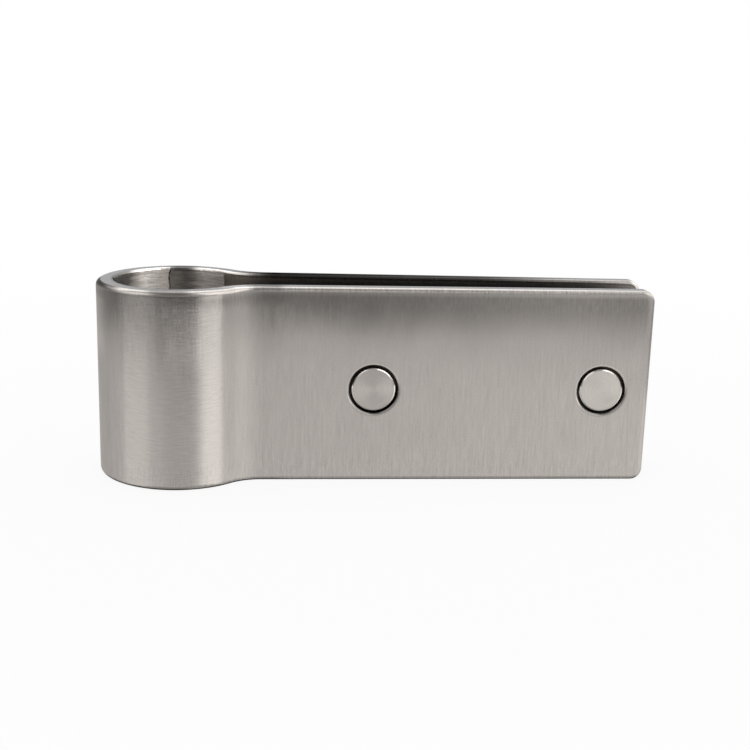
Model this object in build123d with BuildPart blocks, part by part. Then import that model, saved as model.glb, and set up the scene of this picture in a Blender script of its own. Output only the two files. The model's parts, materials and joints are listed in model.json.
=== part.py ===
from build123d import *
from math import cos, radians, sin, sqrt, tan
import os

# Shower screen bracket: one thick steel strap, folded round a pole and back into two
# legs that clamp a glass screen. Two sleeve nuts and screws draw the legs together.
# The origin is on the pole's axis at mid-height, +X runs along the legs to their
# open end, the plain nut heads face -Y and +Z is up. Millimetres and degrees.

# Strap
bracket_height = 50.0
strap_thickness = 4.5
pole_diameter = 32.0
reach = 120.5
mouth_gap = 11.0
leg_lean = 1.05
neck_radius = 11.0
leg_corner_radius = 3.0
outer_edge_round = 1.4
inner_edge_round = 0.6

# Screw holes, measured from the open end of the legs and from mid-height
hole_end_distance = 12.5
hole_pitch = 58.5
hole_drop = 0.8
shank_clearance = 0.2
rim_chamfer = 0.2

# Sleeve nuts and screws
head_diameter = 11.0
head_thickness = 2.2
head_ring_gap = 0.75
head_bevel = 0.35
sleeve_diameter = 8.0
sleeve_end_gap = 1.0
sleeve_bottom = 2.5
screw_diameter = 5.0
thread_clearance = 0.05
screw_bottom_gap = 1.5
end_chamfer = 0.5
socket_across_flats = 3.0
socket_depth = 2.4
drill_point_angle = 59.0

# What lies between the legs: gaskets on the steel and bushes for the glass holes
glass_thickness = 8.0
gasket_thickness = 1.0
gasket_inset = 3.0
gasket_corner_radius = 2.0
gasket_hole_clearance = 0.5
bush_wall = 1.75
bush_bore_clearance = 0.15
bush_end_clearance = 0.1
bush_chamfer = 0.3

# Sizes that follow from those above
barrel_radius = pole_diameter / 2 + strap_thickness
lean = radians(leg_lean)
hole_z = -hole_drop
hole_xs = {
    "inner": reach - hole_end_distance - hole_pitch,
    "outer": reach - hole_end_distance,
}
head_radius = head_diameter / 2
sleeve_radius = sleeve_diameter / 2
screw_radius = screw_diameter / 2
shank_hole_radius = sleeve_radius + shank_clearance
counterbore_radius = head_radius + head_ring_gap


def inner_half(x):
    """Half the gap between the leaning legs at x."""
    return mouth_gap / 2 + (reach - x) * tan(lean)


def outer_half(x):
    """Half the width over both leaning legs at x."""
    return inner_half(x) + strap_thickness / cos(lean)


# The neck bend touches the barrel and the leg, and this is how far out it ends
leg_offset = outer_half(0) * cos(lean)
bend_end = sqrt((barrel_radius + neck_radius) ** 2 - (leg_offset + neck_radius) ** 2)

# All four fasteners are alike, so the nearer seats at the open end set their lengths
seat_distance = 2 * (outer_half(hole_xs["outer"]) - head_thickness)
sleeve_length = seat_distance - sleeve_end_gap
screw_length = seat_distance - sleeve_bottom - screw_bottom_gap


def hole_plane(hole_x):
    """The level plane through a screw hole's axis."""
    return Plane.XY.offset(hole_z).shift_origin((hole_x, 0, hole_z))


def hole_axis(hole_x):
    """The axis that a nut, its bush and its screw share."""
    return Axis((hole_x, 0, hole_z), (0, 1, 0))


def looks_inwards(face):
    """Whether a wall of the strap looks in at the pole or the glass."""
    return face.normal_at().dot(face.center()) < 0


def bend_seams(strap):
    """The upright seams where a bend runs smoothly into its neighbour."""
    upright_edges = strap.edges().filter_by(Axis.Z)
    return upright_edges.filter_by_position(Axis.X, -barrel_radius, reach - strap_thickness)


# The folded strap
with BuildPart() as folded_strap:
    # Outline of the barrel and both legs, drawn past the open end, with bent necks
    with BuildSketch(Plane.XY.offset(-bracket_height / 2)):
        overrun = 2 * strap_thickness
        leg_stub = reach + overrun
        Circle(barrel_radius)
        with BuildLine():
            Polyline(
                (0, -outer_half(0)),
                (leg_stub, -outer_half(leg_stub)),
                (leg_stub, outer_half(leg_stub)),
                (0, outer_half(0)),
                close=True,
            )
        make_face()
        necks = vertices().filter_by_position(Axis.X, 0, barrel_radius)
        fillet(necks, neck_radius)
        # The inside follows the outside at the strap's own thickness
        offset(amount=-strap_thickness, mode=Mode.SUBTRACT)
        trim_width = 2 * outer_half(0)
        with Locations((reach, 0)):
            Rectangle(2 * overrun, trim_width, align=(Align.MIN, Align.CENTER), mode=Mode.SUBTRACT)
    extrude(amount=bracket_height)

    # Corners of the legs, then the cut edges: a soft round all along the outside of the
    # strap and a crisper one along its inside
    leg_ends = folded_strap.edges().filter_by(Axis.Y).group_by(Axis.X)[-1]
    fillet(leg_ends, leg_corner_radius)
    corner_seams = folded_strap.edges().filter_by(Axis.Y)
    inside_edges = folded_strap.faces().filter_by(looks_inwards).edges()
    cut_edges = folded_strap.edges() - corner_seams - bend_seams(folded_strap)
    fillet(cut_edges - inside_edges, outer_edge_round)
    inside_edges = folded_strap.faces().filter_by(looks_inwards).edges()
    fillet(inside_edges - bend_seams(folded_strap), inner_edge_round)

    # Counterbored holes, drilled square to the bracket's middle plane from both sides,
    # each with a fine chamfer round its rim
    drill_start = strap_thickness
    for side in (-1, 1):
        outwards = (0, side, 0)
        for hole_x in hole_xs.values():
            start = (hole_x, side * (outer_half(hole_x) + drill_start), hole_z)
            with Locations(Plane(start, x_dir=(1, 0, 0), z_dir=outwards)):
                CounterBoreHole(
                    radius=shank_hole_radius,
                    counter_bore_radius=counterbore_radius,
                    counter_bore_depth=drill_start + head_thickness,
                    depth=drill_start + 2 * strap_thickness,
                )
            rim = folded_strap.edges(Select.LAST).sort_by(Axis((0, 0, 0), outwards))[-1]
            chamfer(rim, rim_chamfer)


def make_sleeve_nut(hole_x):
    """A plain-headed nut with a long sleeve, threaded inside, seated in the front leg."""
    face = -outer_half(hole_x)
    seat = face + head_thickness
    sleeve_end = seat + sleeve_length
    bore_radius = screw_radius + thread_clearance
    bore_end = seat + sleeve_bottom
    drill_point = bore_end - bore_radius / tan(radians(drill_point_angle))
    with BuildPart() as sleeve_nut:
        with BuildSketch(hole_plane(hole_x)):
            with BuildLine():
                Polyline(
                    (0, face),
                    (head_radius - head_bevel, face),
                    (head_radius, face + head_bevel),
                    (head_radius, seat),
                    (sleeve_radius, seat),
                    (sleeve_radius, sleeve_end - end_chamfer),
                    (sleeve_radius - end_chamfer, sleeve_end),
                    (bore_radius, sleeve_end),
                    (bore_radius, bore_end),
                    (0, drill_point),
                    close=True,
                )
            make_face()
        revolve(axis=hole_axis(hole_x))
    return sleeve_nut


def make_socket_screw(hole_x):
    """A low-headed hexagon socket screw, seated in the rear leg."""
    face = outer_half(hole_x)
    seat = face - head_thickness
    tip = seat - screw_length
    with BuildPart() as socket_screw:
        with BuildSketch(hole_plane(hole_x)):
            with BuildLine():
                Polyline(
                    (0, face),
                    (head_radius - head_bevel, face),
                    (head_radius, face - head_bevel),
                    (head_radius, seat),
                    (screw_radius, seat),
                    (screw_radius, tip + end_chamfer),
                    (screw_radius - end_chamfer, tip),
                    (0, tip),
                    close=True,
                )
            make_face()
        revolve(axis=hole_axis(hole_x))
        with BuildSketch(Plane((hole_x, face, hole_z), x_dir=(1, 0, 0), z_dir=(0, 1, 0))):
            RegularPolygon(socket_across_flats / 2, 6, major_radius=False)
        extrude(amount=-socket_depth, mode=Mode.SUBTRACT)
    return socket_screw


def make_glass_bush(hole_x):
    """A plastic bush on the sleeve, which keeps the steel off the edge of the glass hole."""
    inside = sleeve_radius + bush_bore_clearance
    outside = inside + bush_wall
    half_length = glass_thickness / 2 - bush_end_clearance
    with BuildPart() as glass_bush:
        with BuildSketch(hole_plane(hole_x)):
            with BuildLine():
                Polyline(
                    (inside, -half_length),
                    (outside - bush_chamfer, -half_length),
                    (outside, bush_chamfer - half_length),
                    (outside, half_length - bush_chamfer),
                    (outside - bush_chamfer, half_length),
                    (inside, half_length),
                    close=True,
                )
            make_face()
        revolve(axis=hole_axis(hole_x))
    return glass_bush


def make_gasket(side):
    """A soft pad on one leg's inner face, leaning with the leg; side is -1 in front."""
    leg_length = (reach - bend_end) / cos(lean)
    along = (-cos(lean), side * sin(lean), 0)
    inwards = (-sin(lean), -side * cos(lean), 0)
    mouth = (reach, side * inner_half(reach), 0)
    pad_length = leg_length - 2 * gasket_inset
    pad_height = bracket_height - 2 * gasket_inset
    hole_radius = sleeve_radius + gasket_hole_clearance
    face = Plane(mouth, x_dir=along, z_dir=inwards)
    with BuildPart() as gasket:
        with BuildSketch(face):
            with Locations((leg_length / 2, 0)):
                RectangleRounded(pad_length, pad_height, gasket_corner_radius)
            for hole_x in hole_xs.values():
                with Locations(face.to_local_coords(Vector(hole_x, mouth[1], hole_z))):
                    Circle(hole_radius, mode=Mode.SUBTRACT)
        extrude(amount=gasket_thickness)
    return gasket


# Every piece, by the name of its node
pieces = {"folded_strap": folded_strap}
for place, hole_x in hole_xs.items():
    pieces[f"sleeve_nut_{place}"] = make_sleeve_nut(hole_x)
    pieces[f"socket_screw_{place}"] = make_socket_screw(hole_x)
    pieces[f"glass_bush_{place}"] = make_glass_bush(hole_x)
pieces["gasket_front"] = make_gasket(-1)
pieces["gasket_rear"] = make_gasket(1)

os.makedirs("parts", exist_ok=True)
for name, piece in pieces.items():
    piece.part.label = name
    export_step(piece.part, f"parts/{name}.step")
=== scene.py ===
"""Looks of the shower screen bracket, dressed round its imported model. Metres, +Z up."""
import json
import math

import bpy
from mathutils import Matrix, Vector


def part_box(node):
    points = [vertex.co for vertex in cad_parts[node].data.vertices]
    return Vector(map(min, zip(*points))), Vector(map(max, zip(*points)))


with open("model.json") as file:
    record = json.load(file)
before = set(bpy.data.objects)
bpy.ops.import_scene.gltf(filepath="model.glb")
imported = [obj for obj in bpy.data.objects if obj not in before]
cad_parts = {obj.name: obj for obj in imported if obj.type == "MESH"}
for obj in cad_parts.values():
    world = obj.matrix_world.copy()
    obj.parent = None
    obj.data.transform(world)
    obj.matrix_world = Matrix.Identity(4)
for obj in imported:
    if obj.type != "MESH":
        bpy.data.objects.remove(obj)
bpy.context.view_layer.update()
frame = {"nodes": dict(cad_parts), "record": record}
nodes = frame["nodes"]
MM = 0.001

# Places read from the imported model
strap_low, strap_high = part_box("folded_strap")
FLOOR_Z = strap_low.z
TOP_Z = strap_high.z
BARREL_RADIUS = -strap_low.x
REACH = strap_high.x
pole = next(mount for mount in frame["record"]["mounts"] if mount["name"] == "pole")
BORE_RADIUS_MM = pole["dims"]["r_mm"]
nut_boxes = {place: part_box(f"sleeve_nut_{place}") for place in ("inner", "outer")}
HOLE_CENTRES = {place: (low + high) / 2 for place, (low, high) in nut_boxes.items()}
HEAD_RADIUS = (nut_boxes["inner"][1].x - nut_boxes["inner"][0].x) / 2

# Camera, at the photograph's place and angle
PHOTO_SIDE = 750.0
FOCAL_PIXELS = 1257.2
CAMERA_AT = Vector((28.445, -317.201, 80.143)) * MM
YAW, PITCH, ROLL = 0.0696, 0.24652, 0.0270
SENSOR = 36.0
NEAREST, FARTHEST = 0.01, 20.0


def add_camera():
    """The camera, turned by yaw, pitch and roll from a level look along +Y."""
    right = Vector((math.cos(YAW), -math.sin(YAW), 0))
    ahead = Vector((math.sin(YAW) * math.cos(PITCH), math.cos(YAW) * math.cos(PITCH), -math.sin(PITCH)))
    up = right.cross(ahead)
    turned_right = math.cos(ROLL) * right + math.sin(ROLL) * up
    turned_up = -math.sin(ROLL) * right + math.cos(ROLL) * up
    data = bpy.data.cameras.new("camera")
    data.sensor_width = SENSOR
    data.lens = SENSOR * FOCAL_PIXELS / PHOTO_SIDE
    data.clip_start = NEAREST
    data.clip_end = FARTHEST
    camera = bpy.data.objects.new("camera", data)
    turn = Matrix((turned_right, turned_up, -ahead)).transposed()
    camera.matrix_world = Matrix.Translation(CAMERA_AT) @ turn.to_4x4()
    bpy.context.scene.collection.objects.link(camera)
    bpy.context.scene.camera = camera


# Small helpers for node trees
class Tree:
    """A node tree with short calls for the nodes that the materials share."""

    def __init__(self, tree):
        self.tree = tree
        tree.nodes.clear()

    def node(self, kind, **settings):
        made = self.tree.nodes.new(kind)
        for name, value in settings.items():
            setattr(made, name, value)
        return made

    def feed(self, socket, value):
        """Link a node's output to the socket, or set a plain value on it."""
        if isinstance(value, bpy.types.NodeSocket):
            self.tree.links.new(value, socket)
        else:
            socket.default_value = value

    def math(self, operation, a, b=0.0, c=0.0):
        made = self.node("ShaderNodeMath", operation=operation)
        for socket, value in zip(made.inputs, (a, b, c)):
            self.feed(socket, value)
        return made.outputs[0]

    def times(self, first, *others):
        """The product of the values."""
        for other in others:
            first = self.math("MULTIPLY", first, other)
        return first

    def centred(self, field):
        """Noise about 0 instead of about a half."""
        return self.math("SUBTRACT", field, 0.5)

    def turn(self, right, up):
        """Degrees from up towards the right."""
        return self.math("DEGREES", self.math("ARCTAN2", right, up))

    def ramp(self, value, low, high, to_low=0.0, to_high=1.0):
        """A smooth step of value from low to high."""
        made = self.node("ShaderNodeMapRange", interpolation_type="SMOOTHSTEP")
        for name, x in zip(("Value", "From Min", "From Max", "To Min", "To Max"),
                           (value, low, high, to_low, to_high)):
            self.feed(made.inputs[name], x)
        return made.outputs["Result"]

    def near(self, value, middle, half, soft):
        """1 within half of the middle, falling to 0 over soft."""
        away = self.math("ABSOLUTE", self.math("SUBTRACT", value, middle))
        return self.ramp(away, half + soft, half)

    def vector(self, x, y, z):
        made = self.node("ShaderNodeCombineXYZ")
        for socket, value in zip(made.inputs, (x, y, z)):
            self.feed(socket, value)
        return made.outputs[0]

    def vector_math(self, operation, a, b=(0, 0, 0)):
        made = self.node("ShaderNodeVectorMath", operation=operation)
        self.feed(made.inputs[0], a)
        self.feed(made.inputs[1], b)
        return made.outputs["Value" if operation == "LENGTH" else "Vector"]

    def split(self, vector):
        made = self.node("ShaderNodeSeparateXYZ")
        self.feed(made.inputs[0], vector)
        return made.outputs[0], made.outputs[1], made.outputs[2]

    def noise(self, vector, scale, detail=2.0, roughness=0.5):
        made = self.node("ShaderNodeTexNoise")
        self.feed(made.inputs["Vector"], vector)
        for name, value in (("Scale", scale), ("Detail", detail), ("Roughness", roughness)):
            self.feed(made.inputs[name], value)
        return made.outputs["Fac"]

    def streaks(self, along, up, density, rise, seed, detail=2.0, roughness=0.5):
        """Noise drawn out into streaks; density is its marks per metre along, and rise upwards."""
        stretched = self.vector(self.times(along, density), seed, self.times(up, rise))
        return self.noise(stretched, 1.0, detail, roughness)

    def mix(self, factor, a, b):
        made = self.node("ShaderNodeMix", data_type="FLOAT")
        self.feed(made.inputs[0], factor)
        self.feed(made.inputs[2], a)
        self.feed(made.inputs[3], b)
        return made.outputs[0]

    def shaded(self, tint, mask, factor):
        """The tint, times the factor where the mask is 1."""
        return self.times(tint, self.mix(mask, 1.0, factor))

    def mix_colour(self, factor, a, b):
        made = self.node("ShaderNodeMix", data_type="RGBA")
        self.feed(made.inputs[0], factor)
        self.feed(made.inputs[6], a)
        self.feed(made.inputs[7], b)
        return made.outputs[2]

    def mix_vector(self, factor, a, b):
        made = self.node("ShaderNodeMix", data_type="VECTOR")
        self.feed(made.inputs[0], factor)
        self.feed(made.inputs[4], a)
        self.feed(made.inputs[5], b)
        return made.outputs[1]

    def scaled(self, colour, factor):
        made = self.node("ShaderNodeVectorMath", operation="SCALE")
        self.feed(made.inputs[0], colour)
        self.feed(made.inputs["Scale"], factor)
        return made.outputs["Vector"]

    def bump(self, height, distance):
        made = self.node("ShaderNodeBump")
        self.feed(made.inputs["Height"], height)
        self.feed(made.inputs["Distance"], distance)
        return made.outputs[0]

    def mix_shader(self, factor, a, b):
        made = self.node("ShaderNodeMixShader")
        for socket, value in zip(made.inputs, (factor, a, b)):
            self.feed(socket, value)
        return made.outputs[0]

    def show(self, surface):
        """End the tree with this surface."""
        self.feed(self.node("ShaderNodeOutputMaterial").inputs[0], surface)


def new_material(name):
    material = bpy.data.materials.new(name)
    material.use_nodes = True
    return material, Tree(material.node_tree)


# Studio
WHITE = (1.0, 1.0, 1.0)
AMBIENT = 0.6

# What the steel mirrors, by direction: azimuth from -Y towards +X, elevation from level.
# Each patch has a middle and half-width in azimuth, a soft edge, a low and high elevation
# and the level that it brings; plain white is 1.
TENT_PATCHES = {
    "left_shade": dict(middle=-118, half=30, soft=12, low=-42, high=34, level=0.74),
    "left_strip": dict(middle=-62, half=16, soft=12, low=-42, high=34, level=1.28),
    "right_strip": dict(middle=53, half=10, soft=18, low=-42, high=34, level=1.74),
    "front_shade": dict(middle=3, half=11, soft=22, low=-42, high=34, level=0.84),
}
EDGE_RISE = 5.0

# Darker bands by tilt, which runs from level in front over the top to level behind
SHADE_BANDS = {
    "upper_front": dict(middle=50, half=34, soft=14, level=0.52),
    "behind": dict(middle=169.5, half=4.5, soft=6.5, level=0.60),
    "lower_front": dict(middle=-60, half=18, soft=12, level=0.62),
    "underneath": dict(middle=-118, half=22, soft=12, level=0.08),
}
# They end towards the sides, where the direction's x is within these bounds
BANDS_END = (0.72, 0.52)

# Lights high on the right and on the left, and a band overhead from left to right
HIGH_PATCHES = {
    "right": dict(middle=76, half=22, soft=10, low=26, high=74, level=2.1),
    "left": dict(middle=-64, half=22, soft=8, low=20, high=66, level=1.5),
}
OVERHEAD = dict(middle=130, half=13, soft=14)
OVERHEAD_REACH = (-0.5, 0.7)
OVERHEAD_LEVELS = (2.35, 1.95)


def background_ray(tree):
    """1 where a ray shows the background as the camera sees it: seen directly, mirrored or through glass."""
    path = tree.node("ShaderNodeLightPath")
    seen = tree.math("MAXIMUM", path.outputs["Is Camera Ray"], path.outputs["Is Glossy Ray"])
    return tree.math("MAXIMUM", seen, path.outputs["Is Transmission Ray"])


def across_patch(tree, angle, patch):
    """1 within a patch's half-width of its middle, falling to 0 over its soft edge."""
    return tree.near(angle, patch["middle"], patch["half"], patch["soft"])


def in_patch(tree, azimuth, elevation, patch):
    """1 inside a patch of the tent, falling to 0 over its soft edges."""
    above = tree.ramp(elevation, patch["low"] - EDGE_RISE, patch["low"] + EDGE_RISE)
    below = tree.ramp(elevation, patch["high"] + EDGE_RISE, patch["high"] - EDGE_RISE)
    return tree.times(across_patch(tree, azimuth, patch), tree.times(above, below))


def patched_tent(tree, direction):
    """The tent's level in a direction."""
    x, y, z = tree.split(direction)
    towards = tree.times(y, -1.0)
    azimuth = tree.turn(x, towards)
    elevation = tree.math("DEGREES", tree.math("ARCSINE", z))
    tilt = tree.turn(z, towards)
    level = 1.0
    for patch in TENT_PATCHES.values():
        level = tree.mix(in_patch(tree, azimuth, elevation, patch), level, patch["level"])
    not_sideways = tree.ramp(tree.math("ABSOLUTE", x), *BANDS_END)
    for band in SHADE_BANDS.values():
        inside = tree.times(across_patch(tree, tilt, band), not_sideways)
        level = tree.shaded(level, inside, band["level"])
    for patch in HIGH_PATCHES.values():
        level = tree.mix(in_patch(tree, azimuth, elevation, patch), level, patch["level"])
    overhead = tree.ramp(x, *OVERHEAD_REACH, *OVERHEAD_LEVELS)
    return tree.mix(across_patch(tree, tilt, OVERHEAD), level, overhead)


def add_world():
    """White for the background, the tent for mirrored rays and a plain level for the rest."""
    world = bpy.data.worlds.new("world")
    bpy.context.scene.world = world
    world.use_nodes = True
    world.cycles.sampling_method = "NONE"
    tree = Tree(world.node_tree)
    path = tree.node("ShaderNodeLightPath")
    direction = tree.node("ShaderNodeTexCoord").outputs["Generated"]
    level = tree.mix(background_ray(tree), AMBIENT, 1.0)
    level = tree.mix(path.outputs["Is Glossy Ray"], level, patched_tent(tree, direction))
    shown = tree.node("ShaderNodeBackground")
    shown.inputs["Color"].default_value = (*WHITE, 1)
    tree.feed(shown.inputs["Strength"], level)
    tree.feed(tree.node("ShaderNodeOutputWorld").inputs[0], shown.outputs[0])


FLOOR_SIDE = 6.0
PAPER = (0.95, 0.95, 0.95)
# The paper turns to plain white over these distances from its middle, from this share on
WHITE_FROM, WHITE_TO = 0.08, 0.35
WHITE_SHARE = 0.9


def add_floor():
    """Pale paper that keeps the shadow, and lets mirrored rays through to the tent."""
    bpy.ops.mesh.primitive_plane_add(size=FLOOR_SIDE, location=(REACH / 2, 0, FLOOR_Z))
    floor = bpy.context.object
    floor.name = "floor"
    material, tree = new_material("floor")
    material.cycles.emission_sampling = "NONE"
    paper = tree.node("ShaderNodeBsdfDiffuse")
    paper.inputs["Color"].default_value = (*PAPER, 1)
    white = tree.node("ShaderNodeEmission")
    from_middle = tree.vector_math("LENGTH", tree.node("ShaderNodeTexCoord").outputs["Object"])
    share = tree.ramp(from_middle, WHITE_FROM, WHITE_TO, WHITE_SHARE, 1.0)
    share = tree.times(share, background_ray(tree))
    seen = tree.mix_shader(share, paper.outputs[0], white.outputs[0])
    mirrored = tree.node("ShaderNodeLightPath").outputs["Is Glossy Ray"]
    clear = tree.node("ShaderNodeBsdfTransparent").outputs[0]
    tree.show(tree.mix_shader(mirrored, seen, clear))
    floor.data.materials.append(material)


LAMP_AT = (0.05, 0.05, 0.75)
LAMP_SIZE = (0.8, 0.7)
LAMP_RADIANCE = 1.2


def add_lamp():
    """A softbox over the object, which neither the camera nor a mirrored ray sees."""
    data = bpy.data.lights.new("overhead", "AREA")
    data.shape = "RECTANGLE"
    data.size, data.size_y = LAMP_SIZE
    data.energy = LAMP_RADIANCE * LAMP_SIZE[0] * LAMP_SIZE[1] * math.pi
    lamp = bpy.data.objects.new("overhead", data)
    direction = Vector((REACH / 2, 0, 0)) - Vector(LAMP_AT)
    lamp.rotation_euler = direction.to_track_quat("-Z", "Y").to_euler()
    lamp.location = LAMP_AT
    lamp.visible_camera = False
    lamp.visible_glossy = False
    bpy.context.scene.collection.objects.link(lamp)


# A dark curved card in front of the object, which only mirrors see. It grows lighter
# towards its top, from its patches' levels to its top patches' levels.
CARD_RADIUS = 0.205
CARD_HEIGHT = 0.15
CARD_OFF_FLOOR = 0.0002
CARD_FROM, CARD_TO, CARD_STEP = -150, 90, 2
CARD_LIGHTER_FROM = 0.02
CARD_LEVEL = 0.085
CARD_PATCHES = {
    "far_left": dict(middle=-140, half=25, soft=15, level=0.80),
    "left": dict(middle=-50, half=14, soft=18, level=0.40),
    "right": dict(middle=57, half=13, soft=19, level=1.20),
}
CARD_TOP_LEVEL = 0.45
CARD_TOP_PATCHES = {
    "right": dict(middle=80, half=12, soft=8, level=2.1),
    "left": dict(middle=-72, half=16, soft=8, level=1.0),
}


def card_mesh():
    """A strip round the barrel's axis."""
    steps = round((CARD_TO - CARD_FROM) / CARD_STEP)
    points = []
    for step in range(steps + 1):
        azimuth = math.radians(CARD_FROM + (CARD_TO - CARD_FROM) * step / steps)
        x, y = CARD_RADIUS * math.sin(azimuth), -CARD_RADIUS * math.cos(azimuth)
        points += [(x, y, FLOOR_Z + CARD_OFF_FLOOR), (x, y, FLOOR_Z + CARD_HEIGHT)]
    faces = [(2 * n, 2 * n + 2, 2 * n + 3, 2 * n + 1) for n in range(steps)]
    mesh = bpy.data.meshes.new("dark_card")
    mesh.from_pydata(points, [], faces)
    return mesh


def card_level(tree, azimuth, level, patches):
    """The level, changed to each patch's own inside it."""
    for patch in patches.values():
        level = tree.mix(across_patch(tree, azimuth, patch), level, patch["level"])
    return level


def card_glow():
    """The card's own faint light."""
    material, tree = new_material("dark_card")
    material.cycles.emission_sampling = "NONE"
    x, y, z = tree.split(tree.node("ShaderNodeTexCoord").outputs["Object"])
    azimuth = tree.turn(x, tree.times(y, -1.0))
    level = card_level(tree, azimuth, CARD_LEVEL, CARD_PATCHES)
    top_level = card_level(tree, azimuth, CARD_TOP_LEVEL, CARD_TOP_PATCHES)
    towards_top = tree.ramp(z, FLOOR_Z + CARD_LIGHTER_FROM, FLOOR_Z + CARD_HEIGHT)
    glow = tree.node("ShaderNodeEmission")
    tree.feed(glow.inputs["Strength"], tree.mix(towards_top, level, top_level))
    tree.show(glow.outputs[0])
    return material


def add_card():
    """The card, hidden from every ray but mirrored ones."""
    mesh = card_mesh()
    mesh.materials.append(card_glow())
    card = bpy.data.objects.new("dark_card", mesh)
    bpy.context.scene.collection.objects.link(card)
    card.visible_camera = False
    card.visible_diffuse = False
    card.visible_shadow = False
    card.visible_transmission = False
    card.visible_volume_scatter = False


def add_studio():
    """Everything round the object."""
    add_world()
    add_floor()
    add_card()
    add_lamp()


# Materials
STEEL = (0.400, 0.373, 0.348)
CUT_STEEL = (0.395, 0.390, 0.390)


# Coordinates on the strap, and zones bounded by them
CORNER_RADIUS = 3.0 * MM
BORE_END_TURN = 43.0
# The coordinates that are turns, in degrees; the others are lengths
ANGLES = ("turn", "frayed_turn")


def from_outline(tree, x, height):
    """Distance in from the outline of a leg, with its rounded corners."""
    over = tree.math("MAXIMUM", tree.math("SUBTRACT", x, REACH - CORNER_RADIUS), 0.0)
    above = tree.math("MAXIMUM", tree.math("SUBTRACT", height, TOP_Z - CORNER_RADIUS), 0.0)
    out = tree.vector_math("LENGTH", tree.vector(over, above, 0.0))
    return tree.math("SUBTRACT", CORNER_RADIUS, out)


def from_hole(tree, x, z):
    """Offset from the nearer screw's axis, to the right and upwards."""
    inner, outer = HOLE_CENTRES["inner"], HOLE_CENTRES["outer"]
    beyond = tree.math("GREATER_THAN", x, (inner.x + outer.x) / 2)
    right = tree.math("SUBTRACT", x, tree.mix(beyond, inner.x, outer.x))
    return right, tree.math("SUBTRACT", z, inner.z)


# How much of the way round the barrel is added to x, so that upright marks go on round it
ROUND_SHARE = 0.3
# Slopes of the line that bounds the neck's light wall, and of the one across a hole
NECK_SLOPE = 0.28
HOLE_SLOPE = -0.4
# The low left of a hole, as a direction
LOW_LEFT = (-0.574, -0.819)


def strap_places(tree):
    """Coordinates on the strap by name, in metres; turns are degrees about the barrel's axis."""
    at = tree.node("ShaderNodeTexCoord").outputs["Object"]
    x, y, z = tree.split(at)
    sideways = tree.math("ABSOLUTE", y)
    height = tree.math("ABSOLUTE", z)
    turn = tree.turn(x, sideways)
    round_way = tree.times(tree.math("RADIANS", turn), BARREL_RADIUS)
    right, up = from_hole(tree, x, z)
    to_hole = tree.vector_math("LENGTH", tree.vector(right, 0.0, up))
    low_left = tree.math("MULTIPLY_ADD", right, LOW_LEFT[0], tree.times(up, LOW_LEFT[1]))
    return dict(
        at=at, x=x, y=y, z=z, turn=turn, round_way=round_way,
        rear_turn=tree.turn(x, y),
        along=tree.math("ADD", x, tree.times(round_way, ROUND_SHARE)),
        from_axis=tree.vector_math("LENGTH", tree.vector(x, y, 0.0)),
        depth=tree.math("SUBTRACT", TOP_Z, height),
        inwards=from_outline(tree, x, height),
        neck_line=tree.math("MULTIPLY_ADD", x, NECK_SLOPE, sideways),
        past_head=tree.math("SUBTRACT", to_hole, HEAD_RADIUS),
        hole_line=tree.math("MULTIPLY_ADD", right, HOLE_SLOPE, up),
        low_left=tree.math("DIVIDE", low_left, to_hole),
    )


def zone(tree, on, **bounds):
    """1 inside the zone that coordinates of the strap bound, and 0 outside.

    A bound is in millimetres, or in degrees for a turn. Two numbers are where the zone
    starts and where it is full; two more are where it starts to fade and where it ends.
    """
    inside = []
    for name, bound in bounds.items():
        start, full, *fade = (value * (1.0 if name in ANGLES else MM) for value in bound)
        inside.append(tree.ramp(on[name], start, full))
        if fade:
            inside.append(tree.ramp(on[name], fade[1], fade[0]))
    return tree.times(*inside)


# Bounds that several zones share
FRONT_HALF = (1.0, -1.0)
REAR_HALF = (-1.0, 1.0)
FRONT_FACE = (0.0, -1.0)
REAR_FACE = (0.0, 1.0)
ON_BARREL = (16.0, 13.0)
UPPER_BARREL = (3.0, 13.0, 20.5, 22.8)
BELOW_EDGE = (1.0, 2.4)
JUST_OFF_RIM = (0.30, 0.80, 1.10, 1.60)
OPEN_END = (106.0, 114.0)

# The wall of the bore, the neck's wall where the gap starts behind it, which is given painted light, and
# where the grain is level
BEFORE_BORE_END = (BORE_END_TURN + 1.0, BORE_END_TURN - 1.0)
PAST_BORE_END = (BORE_END_TURN - 1.0, BORE_END_TURN + 1.0)
BORE = dict(from_axis=(BORE_RADIUS_MM + 1.2, BORE_RADIUS_MM + 0.6), turn=BEFORE_BORE_END)
NECK_WALL = dict(neck_line=(17.3, 16.3), x=(25.0, 15.0), turn=PAST_BORE_END)
NECK_WALL_PAINTED_LIGHT = 1.9
LEVEL_BRUSHED = dict(frayed_turn=(-41.0, -33.0, 29.0, 37.0))
# Degrees by which the marks fray the line where level and upright grain meet
MEETING_FRAY = 16.0
# Level grain has this share of upright grain across it, up to these turns
CROSSED_TURNS = (-4.0, 14.0)
CROSSED_SHARE = 0.22

# The rim: its flat cut face, its polished edge and the short frays beside it
CUT_FACE = dict(depth=(0.05, 0.01))
POLISHED_EDGE = dict(frayed_edge=(0.80, 0.35), depth=(2.4, 1.2))
EDGE_FRAY = 0.6 * MM
FRAYS = dict(density=1900.0, rise=420.0, seed=7.0)
FRAYS_NEAR_EDGE = dict(depth=(10.0, 3.0))
NEAR_RIM = dict(depth=(1.3, 0.5))
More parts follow.
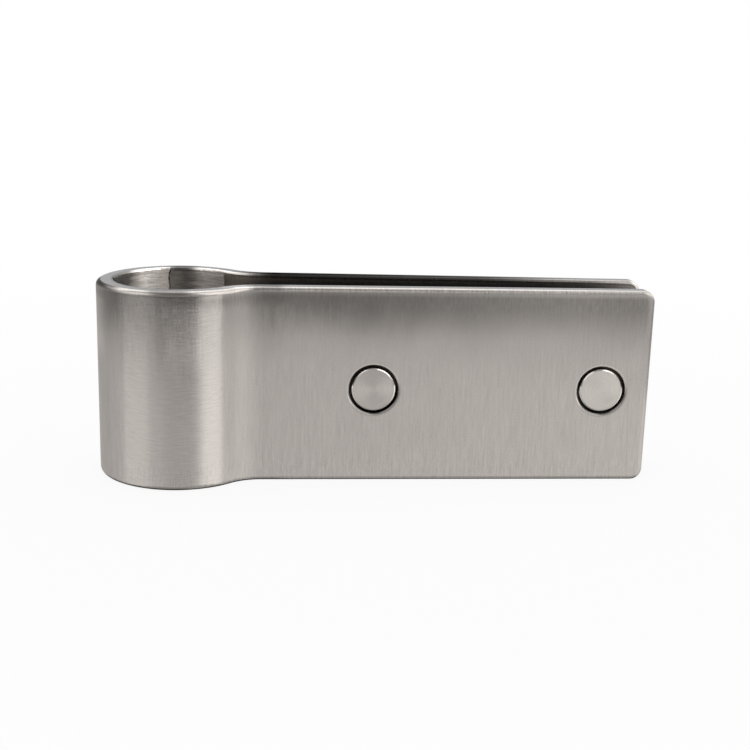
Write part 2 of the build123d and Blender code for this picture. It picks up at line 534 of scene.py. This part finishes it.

# Rings round each head: the gap's painted shade, the polished lip, a darker halo on the lower side and a
# painted highlight line beside it
GAP = dict(past_head=(0.80, 0.72))
LIP = dict(past_head=(0.73, 0.79, 0.95, 1.01))
LOWER_HALO = dict(past_head=(1.75, 0.80))
LIGHT_LINE = dict(past_head=(0.97, 1.06, 1.18, 1.27))
LOW_SIDE = dict(hole_line=(1.0, -4.5))
LOW_LEFT_FROM, LOW_LEFT_FULL = 0.70, 0.92
GAP_PAINTED_SHADE = 0.08
LOWER_HALO_TINT = 0.40
LINE_PAINTED_HIGHLIGHTS = dict(upper=1.25, lower=1.0, low_left=2.1)

# Painted light and painted shade: lighter and darker zones of the strap's faces, each with its tint
PAINTED_LIGHT_AND_SHADE = {
    "upper_legs": (0.68, dict(x=(18.0, 40.0), z=(11.0, 21.0), inwards=BELOW_EDGE)),
    "neck_top": (0.78, dict(x=(3.0, 9.0, 25.0, 31.0), z=(19.5, 22.5), inwards=BELOW_EDGE)),
    "upper_corner": (0.84, dict(x=(95.0, 115.0), z=(5.0, 14.0))),
    "barrel_front": (1.36, dict(y=FRONT_FACE, z=UPPER_BARREL, turn=(-9.0, -0.5, 16.5, 25.0))),
    "barrel_left": (1.30, dict(y=FRONT_FACE, z=UPPER_BARREL, turn=(-50.0, -66.0))),
    "under_top_edge": (1.13, dict(y=FRONT_FACE, z=(-1.0, 1.0), depth=JUST_OFF_RIM)),
    "over_bottom_edge": (1.06, dict(y=FRONT_FACE, z=(1.0, -1.0), depth=JUST_OFF_RIM)),
    "light_tip_rim": (1.90, dict(y=REAR_FACE, x=OPEN_END, inwards=(0.10, 0.25, 0.75, 0.90))),
    "dark_tip_line": (0.55, dict(y=REAR_FACE, x=OPEN_END, inwards=(0.82, 0.97, 1.13, 1.28))),
}

# Painted shade on the rim, zone by zone, dimming its highlights: each with the factor for its rounded edges
# and for its flat face
PAINTED_RIM_SHADE_ZONES = {
    "front_middle": (0.50, 0.90, dict(y=FRONT_HALF, x=ON_BARREL, turn=(-22.0, -10.0, 6.0, 18.0))),
    "front_left": (0.40, 1.0, dict(y=FRONT_HALF, x=ON_BARREL, turn=(-34.0, -50.0))),
    "front_neck": (0.66, 0.66, dict(y=FRONT_HALF, x=(16.5, 20.5, 24.5, 28.5))),
    "rear_middle": (0.42, 0.55, dict(y=REAR_HALF, x=ON_BARREL, turn=(-17.0, -5.0, 5.0, 17.0))),
}

# Painted shade along the rear leg's rim: it grows lighter by so much per metre, and is unshaded at its tip
REAR_LEG = dict(x=(9.0, 24.0), y=REAR_HALF)
REAR_LEG_TIP = dict(x=(76.0, 112.0))
REAR_LEG_PAINTED_FACTOR = 0.04
REAR_LEG_PAINTED_RISE = dict(rounded=2.2, flat=3.6)

# Layers of grain: marks per metre along and up, and each layer's share
UPRIGHT_LAYERS = (
    (5200.0, 300.0, 0.22),
    (2100.0, 130.0, 0.34),
    (600.0, 45.0, 0.14),
    (2700.0, 2300.0, 0.30),
)
LEVEL_LAYERS = (
    (300.0, 5000.0, 0.36),
    (220.0, 2100.0, 0.30),
    (3800.0, 120.0, 0.14),
    (3400.0, 3000.0, 0.20),
)
GRAIN_ROUGHNESS = 0.6
# How the pad that brushed the level grain bowed and swayed
PAD_BOW = 5.0
PAD_SWAY = 1.5 * MM
SWAYS = dict(density=110.0, rise=70.0, seed=0.0, detail=0.0)


def layered(tree, along, up, layers):
    """Layers of streaks along one way or the other, added up."""
    total = 0.0
    for density, rise, share in layers:
        marks = tree.streaks(along, up, density, rise, seed=density, roughness=GRAIN_ROUGHNESS)
        total = tree.math("MULTIPLY_ADD", marks, share, total)
    return total


def level_grain(tree, round_way, z):
    """Short marks round the barrel, bent like arcs of a hand-held pad."""
    sway = tree.streaks(round_way, z, **SWAYS)
    bent = tree.math("SUBTRACT", z, tree.times(tree.times(round_way, round_way), PAD_BOW))
    bent = tree.math("MULTIPLY_ADD", sway, PAD_SWAY, bent)
    return layered(tree, round_way, bent, LEVEL_LAYERS)


def add_grain(tree, on):
    """The upright and level grain, and where each lies; their meeting line is frayed."""
    on["upright_marks"] = layered(tree, on["along"], on["z"], UPRIGHT_LAYERS)
    on["level_marks"] = level_grain(tree, on["round_way"], on["z"])
    frayed = on["turn"]
    for marks in (on["upright_marks"], on["level_marks"]):
        frayed = tree.math("MULTIPLY_ADD", tree.centred(marks), MEETING_FRAY, frayed)
    on["frayed_turn"] = frayed
    on["bore"] = zone(tree, on, **BORE)
    on["level_part"] = tree.math("MAXIMUM", zone(tree, on, **LEVEL_BRUSHED), on["bore"])
    crossed = tree.ramp(on["turn"], *CROSSED_TURNS, CROSSED_SHARE, 0.0)
    level = tree.mix(crossed, on["level_marks"], on["upright_marks"])
    on["grain"] = tree.mix(on["level_part"], on["upright_marks"], level)


def add_edges(tree, on):
    """The short frays near the edges, the flat cut face, and what is polished."""
    on["frays"] = tree.centred(tree.streaks(on["along"], on["z"], **FRAYS))
    on["frayed_edge"] = tree.math("MULTIPLY_ADD", on["frays"], EDGE_FRAY, on["inwards"])
    on["edge"] = zone(tree, on, **POLISHED_EDGE)
    on["cut_face"] = zone(tree, on, **CUT_FACE)
    on["polished"] = tree.math("MAXIMUM", zone(tree, on, **LIP), on["edge"])


def painted_rim_shade(tree, on):
    """Painted shade on the strap's upper and lower edges: their highlights dimmed in zones and along the
    rear leg.
    """
    painted_rim_factor = 1.0
    for rounded, flat, bounds in PAINTED_RIM_SHADE_ZONES.values():
        painted_zone_factor = tree.mix(on["cut_face"], rounded, flat)
        painted_rim_factor = tree.mix(zone(tree, on, **bounds), painted_rim_factor, painted_zone_factor)
    rise = tree.mix(on["cut_face"], REAR_LEG_PAINTED_RISE["rounded"], REAR_LEG_PAINTED_RISE["flat"])
    painted_leg_factor = tree.math("MULTIPLY_ADD", on["x"], rise, REAR_LEG_PAINTED_FACTOR)
    painted_leg_factor = tree.mix(zone(tree, on, **REAR_LEG_TIP), painted_leg_factor, 1.0)
    painted_rim_factor = tree.mix(zone(tree, on, **REAR_LEG), painted_rim_factor, painted_leg_factor)
    return tree.mix(zone(tree, on, **NEAR_RIM), 1.0, painted_rim_factor)


# Closing line in the bore, which wanders and fades as it rises and ends below the rim
SEAM_TURN = -13.5
SEAM_WANDER = 6.0
SEAM_WAVES = dict(rise=340.0, seed=0.0)
SEAM_FADES = dict(rise=600.0, seed=4.0)
SEAM_CLEAR = (0.35, 0.60)
SEAM_FAINTEST = 0.55
SEAM_WIDTH = dict(half=0.25, soft=0.75)
SEAM_TINT = 0.06
SEAM_BELOW_RIM = dict(depth=(0.3, 0.7))

# Painted light and shade in the bore: from dark to light left of the line, darker past it, then light on the
# right
LEFT_TURNS = (-60.0, -38.0)
LEFT_PAINTED_LEVELS = (0.40, 2.20)
PAST_SEAM = (-0.6, 0.6)
PAST_SEAM_PAINTED_SHADE = 0.74
RIGHT_TURNS = (2.0, 20.0)
RIGHT_PAINTED_LIGHT = 1.70
BORE_DRIFT = 18.0
DRIFTS = dict(density=120.0, rise=900.0, seed=2.0)

# Marks on the wall of the bore. Each scratch has a seed, a tint and a slope.
BORE_MARKS = dict(density=110.0, rise=2300.0, seed=5.0, roughness=GRAIN_ROUGHNESS)
BORE_MARK_CONTRAST, BORE_MARK_BASE = 0.90, 0.55
SCRATCHES = ((9.0, 0.80, 0.22), (13.0, 1.16, 0.0), (17.0, 0.84, 0.0))
SCRATCH_FIELD = dict(density=75.0, rise=650.0, detail=0.0)
SCRATCH_WIDTH = dict(middle=0.5, half=0.006, soft=0.028)


def by_height(tree, z, rise, seed):
    """Noise that changes with height alone."""
    return tree.noise(tree.vector(0.0, seed, tree.times(z, rise)), 1.0, 1.0)


def bore_shade(tree, on, past_seam):
    """Painted light and shade on the sides of the bore, whose borders drift."""
    drift = tree.centred(tree.streaks(on["round_way"], on["z"], **DRIFTS))
    drifting = tree.math("MULTIPLY_ADD", drift, BORE_DRIFT, on["rear_turn"])
    left = tree.ramp(drifting, *LEFT_TURNS, *LEFT_PAINTED_LEVELS)
    shade = tree.ramp(past_seam, *PAST_SEAM, left, PAST_SEAM_PAINTED_SHADE)
    return tree.mix(tree.ramp(drifting, *RIGHT_TURNS), shade, RIGHT_PAINTED_LIGHT)


def marked(tree, on, shade):
    """The bore's shade with long level marks and a few fine scratches."""
    marks = tree.streaks(on["round_way"], on["z"], **BORE_MARKS)
    shade = tree.times(shade, tree.math("MULTIPLY_ADD", marks, BORE_MARK_CONTRAST, BORE_MARK_BASE))
    for seed, tint, slope in SCRATCHES:
        up = tree.math("MULTIPLY_ADD", on["round_way"], slope, on["z"])
        field = tree.streaks(on["round_way"], up, seed=seed, **SCRATCH_FIELD)
        shade = tree.shaded(shade, tree.near(field, **SCRATCH_WIDTH), tint)
    return shade


def bore_tint(tree, on):
    """Painted light and shade, marks, scratches and the wandering closing line on the wall of the bore."""
    wander = by_height(tree, on["z"], **SEAM_WAVES)
    seam_turn = tree.math("MULTIPLY_ADD", wander, SEAM_WANDER, SEAM_TURN - SEAM_WANDER / 2)
    past_seam = tree.math("SUBTRACT", on["rear_turn"], seam_turn)
    shade = marked(tree, on, bore_shade(tree, on, past_seam))
    clear = tree.ramp(by_height(tree, on["z"], **SEAM_FADES), *SEAM_CLEAR, SEAM_FAINTEST, 1.0)
    seam = tree.near(past_seam, 0.0, **SEAM_WIDTH)
    seam = tree.times(seam, zone(tree, on, **SEAM_BELOW_RIM), clear)
    return tree.mix(seam, shade, SEAM_TINT)


def hole_tint(tree, on, tint):
    """The tint with the rings round each head: painted shade in the gap, a darker halo on the lower side and
    a painted highlight line.
    """
    low_side = zone(tree, on, **LOW_SIDE)
    low_left = tree.ramp(on["low_left"], LOW_LEFT_FROM, LOW_LEFT_FULL)
    # Painted shade in the gap round each head
    tint = tree.shaded(tint, zone(tree, on, **GAP), GAP_PAINTED_SHADE)
    # A darker halo on the lower side of each hole
    tint = tree.shaded(tint, tree.times(low_side, zone(tree, on, **LOWER_HALO)), LOWER_HALO_TINT)
    # Painted highlight: a light line just outside the gap, brightest at the low left
    painted_line_light = tree.mix(low_side, LINE_PAINTED_HIGHLIGHTS["upper"], LINE_PAINTED_HIGHLIGHTS["lower"])
    painted_line_light = tree.mix(low_left, painted_line_light, LINE_PAINTED_HIGHLIGHTS["low_left"])
    return tree.shaded(tint, zone(tree, on, **LIGHT_LINE), painted_line_light)


# How far each kind of mark changes the tint, and the painted light that makes the legs lighter towards their
# tips
UPRIGHT_CONTRAST, LEVEL_CONTRAST = 1.08, 0.95
BLOTCHES = dict(scale=120.0, detail=3.0)
BLOTCH_CONTRAST = 0.05
FRAY_CONTRAST = 0.35
LEGS_FROM, LEGS_TO = 30.0 * MM, 120.0 * MM
LEG_PAINTED_LIGHT = (1.05, 1.13)


def strap_tint(tree, on, painted_rim_factor):
    """The strap's tint: its grain, and painted light and shade in its zones, round its holes, in its bore
    and on its rim.
    """
    contrast = tree.mix(on["level_part"], UPRIGHT_CONTRAST, LEVEL_CONTRAST)
    tint = tree.math("MULTIPLY_ADD", tree.centred(on["grain"]), contrast, 1.0)
    # Painted light: the legs grow lighter towards their tips
    painted_leg_light = tree.ramp(on["x"], LEGS_FROM, LEGS_TO, *LEG_PAINTED_LIGHT)
    tint = tree.times(tint, tree.mix(on["level_part"], painted_leg_light, 1.0))
    # Painted light and painted shade in zones of the strap's faces
    for factor, bounds in PAINTED_LIGHT_AND_SHADE.values():
        tint = tree.shaded(tint, zone(tree, on, **bounds), factor)
    blotches = tree.centred(tree.noise(on["at"], **BLOTCHES))
    tint = tree.math("MULTIPLY_ADD", blotches, BLOTCH_CONTRAST, tint)
    frayed = tree.times(zone(tree, on, **FRAYS_NEAR_EDGE), on["frays"])
    tint = tree.math("MULTIPLY_ADD", frayed, FRAY_CONTRAST, tint)
    tint = hole_tint(tree, on, tint)
    # Painted light and shade in the bore
    tint = tree.shaded(tint, on["bore"], bore_tint(tree, on))
    # Painted light on the neck's wall
    tint = tree.shaded(tint, zone(tree, on, **NECK_WALL), NECK_WALL_PAINTED_LIGHT)
    return tree.times(tint, painted_rim_factor)


ROUGHNESS = dict(upright=0.335, level=0.225, bore=0.40, polished=0.19, cut_face=0.10)
ROUGHNESS_SPREAD = 0.14
LEVEL_STRETCH = 0.25
BORE_STRETCH = 0.85


def strap_roughness(tree, on):
    """Roughest in the bore, then where the grain is upright; smoothest on the cut face."""
    roughness = tree.mix(on["level_part"], ROUGHNESS["upright"], ROUGHNESS["level"])
    for part in ("bore", "polished", "cut_face"):
        roughness = tree.mix(on[part], roughness, ROUGHNESS[part])
    return tree.math("MULTIPLY_ADD", tree.centred(on["grain"]), ROUGHNESS_SPREAD, roughness)


def strap_stretch(tree, on):
    """How far the grain draws reflections out: most where it is upright, not at all where polished."""
    across = tree.ramp(on["level_part"], 0.5, 0.0)
    lengthways = tree.ramp(on["level_part"], 0.5, 1.0, 0.0, LEVEL_STRETCH)
    stretch = tree.mix(on["bore"], tree.math("ADD", across, lengthways), BORE_STRETCH)
    return tree.mix(on["polished"], stretch, 0.0)


def strap_tangent(tree, on):
    """Across the grain: round the barrel's axis where it is upright, and up where it is level."""
    round_axis = tree.node("ShaderNodeTangent", direction_type="RADIAL", axis="Z").outputs[0]
    upwards = tree.vector(0.0, 0.0, 1.0)
    return tree.mix_vector(tree.math("GREATER_THAN", on["level_part"], 0.5), round_axis, upwards)


STRAP_BUMP = 0.010 * MM
MARK_NOD = 0.16
WAVE_NOD = 0.045
WAVES = dict(density=110.0, rise=45.0, seed=1.0)


def strap_normal(tree, on):
    """Bumped by the grain, and nodding up and down from mark to mark as brushed sheet does."""
    wave = tree.centred(tree.streaks(on["along"], on["z"], **WAVES))
    nod = tree.times(tree.centred(on["upright_marks"]), MARK_NOD)
    nod = tree.math("MULTIPLY_ADD", wave, WAVE_NOD, nod)
    nod = tree.times(nod, tree.math("SUBTRACT", 1.0, on["edge"]))
    bumped = tree.bump(on["grain"], STRAP_BUMP)
    return tree.vector_math("NORMALIZE", tree.vector_math("ADD", bumped, tree.vector(0.0, 0.0, nod)))


def brushed_strap():
    """The strap's steel, brushed upright or level and polished at its rim, with painted light and shade on
    its faces, rim and bore and round its holes.
    """
    material, tree = new_material("brushed_strap")
    on = strap_places(tree)
    add_grain(tree, on)
    add_edges(tree, on)
    # Painted shade on the rim, in the colour and in the specular tint
    painted_rim_factor = painted_rim_shade(tree, on)
    steel = tree.mix_colour(on["cut_face"], (*STEEL, 1.0), (*CUT_STEEL, 1.0))
    shader = tree.node("ShaderNodeBsdfPrincipled")
    shader.inputs["Metallic"].default_value = 1.0
    tree.feed(shader.inputs["Base Color"], tree.scaled(steel, strap_tint(tree, on, painted_rim_factor)))
    tree.feed(shader.inputs["Specular Tint"], tree.scaled(WHITE, tree.math("MINIMUM", painted_rim_factor, 1.0)))
    tree.feed(shader.inputs["Roughness"], strap_roughness(tree, on))
    tree.feed(shader.inputs["Anisotropic"], strap_stretch(tree, on))
    tree.feed(shader.inputs["Tangent"], strap_tangent(tree, on))
    tree.feed(shader.inputs["Normal"], strap_normal(tree, on))
    tree.show(shader.outputs[0])
    return material


# Heads of the nuts and screws. The painted highlight arc is in degrees from up towards +X. The soft side
# is bounded by the cosine of the angle from straight down, is given painted shade, and its normal leans
# along Y.
BEVEL_WIDTH = 0.33 * MM
BEVEL_SOFT = 0.04 * MM
RINGS_PER_METRE = 3200.0
RING_BUMP = 0.01 * MM
HEAD_TINT = 1.42
RING_CONTRAST = 0.45
RING_ROUGHNESS_SPREAD = 0.1
FACE_ROUGH, BEVEL_ROUGH = 0.34, 0.16
FACE_STRETCH = 0.5
STRETCH_FULL_AT = 1.5 * MM
PAINTED_HIGHLIGHT_ARC = dict(middle=42.0, half=26.0, soft=22.0)
PAINTED_HIGHLIGHT_GAIN = 0.60
SOFT_SIDE = (-0.30, 0.15)
SOFT_SIDE_PAINTED_SHADE = 0.86
SOFT_SIDE_LEAN = -1.7


def painted_bevel_light(tree, clock, soft_side):
    """The painted light round a head's bevel: a painted highlight arc at the upper right, and painted shade
    below.
    """
    painted_arc = tree.near(tree.math("DEGREES", clock), **PAINTED_HIGHLIGHT_ARC)
    light = tree.math("MULTIPLY_ADD", painted_arc, PAINTED_HIGHLIGHT_GAIN, 1.0)
    return tree.mix(soft_side, light, SOFT_SIDE_PAINTED_SHADE)


def turned_steel(centre):
    """Steel with fine turned rings about a screw's axis; the bevel has a painted highlight arc at the upper
    right, and on its low side painted shade and a normal that leans softer.
    """
    material, tree = new_material("turned_steel")
    place = tree.node("ShaderNodeTexCoord").outputs["Object"]
    x, _, z = tree.split(tree.vector_math("SUBTRACT", place, tuple(centre)))
    outwards = tree.vector(x, 0.0, z)
    radius = tree.vector_math("LENGTH", outwards)
    clock = tree.math("ARCTAN2", x, z)
    rings = tree.noise(tree.vector(tree.times(radius, RINGS_PER_METRE), clock, 0.0), 1.0)
    spread = tree.centred(rings)
    face = HEAD_RADIUS - BEVEL_WIDTH
    bevel = tree.ramp(radius, face, face + BEVEL_SOFT)
    downwards = tree.math("COSINE", tree.math("SUBTRACT", clock, math.pi))
    soft_side = tree.ramp(downwards, *SOFT_SIDE)
    tint = tree.math("MULTIPLY_ADD", spread, RING_CONTRAST, HEAD_TINT)
    # Painted highlight and painted shade on the bevel
    tint = tree.shaded(tint, bevel, painted_bevel_light(tree, clock, soft_side))
    roughness = tree.mix(bevel, FACE_ROUGH, BEVEL_ROUGH)
    roughness = tree.math("MULTIPLY_ADD", spread, RING_ROUGHNESS_SPREAD, roughness)
    stretch = tree.ramp(radius, 0.0, STRETCH_FULL_AT, 0.0, FACE_STRETCH)
    lean = tree.times(bevel, soft_side, SOFT_SIDE_LEAN)
    leaning = tree.vector_math("ADD", tree.bump(rings, RING_BUMP), tree.vector(0.0, lean, 0.0))
    shader = tree.node("ShaderNodeBsdfPrincipled")
    shader.inputs["Metallic"].default_value = 1.0
    tree.feed(shader.inputs["Base Color"], tree.scaled(STEEL, tint))
    tree.feed(shader.inputs["Roughness"], roughness)
    tree.feed(shader.inputs["Anisotropic"], tree.mix(bevel, stretch, 0.0))
    tree.feed(shader.inputs["Tangent"], outwards)
    tree.feed(shader.inputs["Normal"], tree.vector_math("NORMALIZE", leaning))
    tree.show(shader.outputs[0])
    return material


# Soft parts
RUBBER = dict(colour=(0.02, 0.02, 0.021), roughness=0.75)
NYLON = dict(colour=(0.66, 0.65, 0.61), roughness=0.5)
SPECKLES_PER_METRE = 2500.0
SPECKLE_CONTRAST = 0.2
SPECKLE_BUMP = 0.01 * MM


def speckled(name, colour, roughness):
    """Rubber or plastic with a fine speckle."""
    material, tree = new_material(name)
    place = tree.node("ShaderNodeTexCoord").outputs["Object"]
    speckle = tree.noise(place, SPECKLES_PER_METRE, 3.0)
    tint = tree.math("MULTIPLY_ADD", speckle, SPECKLE_CONTRAST, 1.0 - SPECKLE_CONTRAST / 2)
    shader = tree.node("ShaderNodeBsdfPrincipled")
    shader.inputs["Roughness"].default_value = roughness
    tree.feed(shader.inputs["Base Color"], tree.scaled(colour, tint))
    tree.feed(shader.inputs["Normal"], tree.bump(speckle, SPECKLE_BUMP))
    tree.show(shader.outputs[0])
    return material


def dress(node, material):
    """Give a node of the model its material."""
    mesh = nodes[node].data
    mesh.materials.clear()
    mesh.materials.append(material)


def dress_all():
    """Materials for every piece."""
    dress("folded_strap", brushed_strap())
    rubber = speckled("gasket_rubber", **RUBBER)
    nylon = speckled("bush_nylon", **NYLON)
    for place, centre in HOLE_CENTRES.items():
        dress(f"sleeve_nut_{place}", turned_steel(centre))
        dress(f"socket_screw_{place}", turned_steel(centre))
        dress(f"glass_bush_{place}", nylon)
    for side in ("front", "rear"):
        dress(f"gasket_{side}", rubber)


add_camera()
add_studio()
dress_all()

bpy.context.scene.view_settings.view_transform = "Standard"
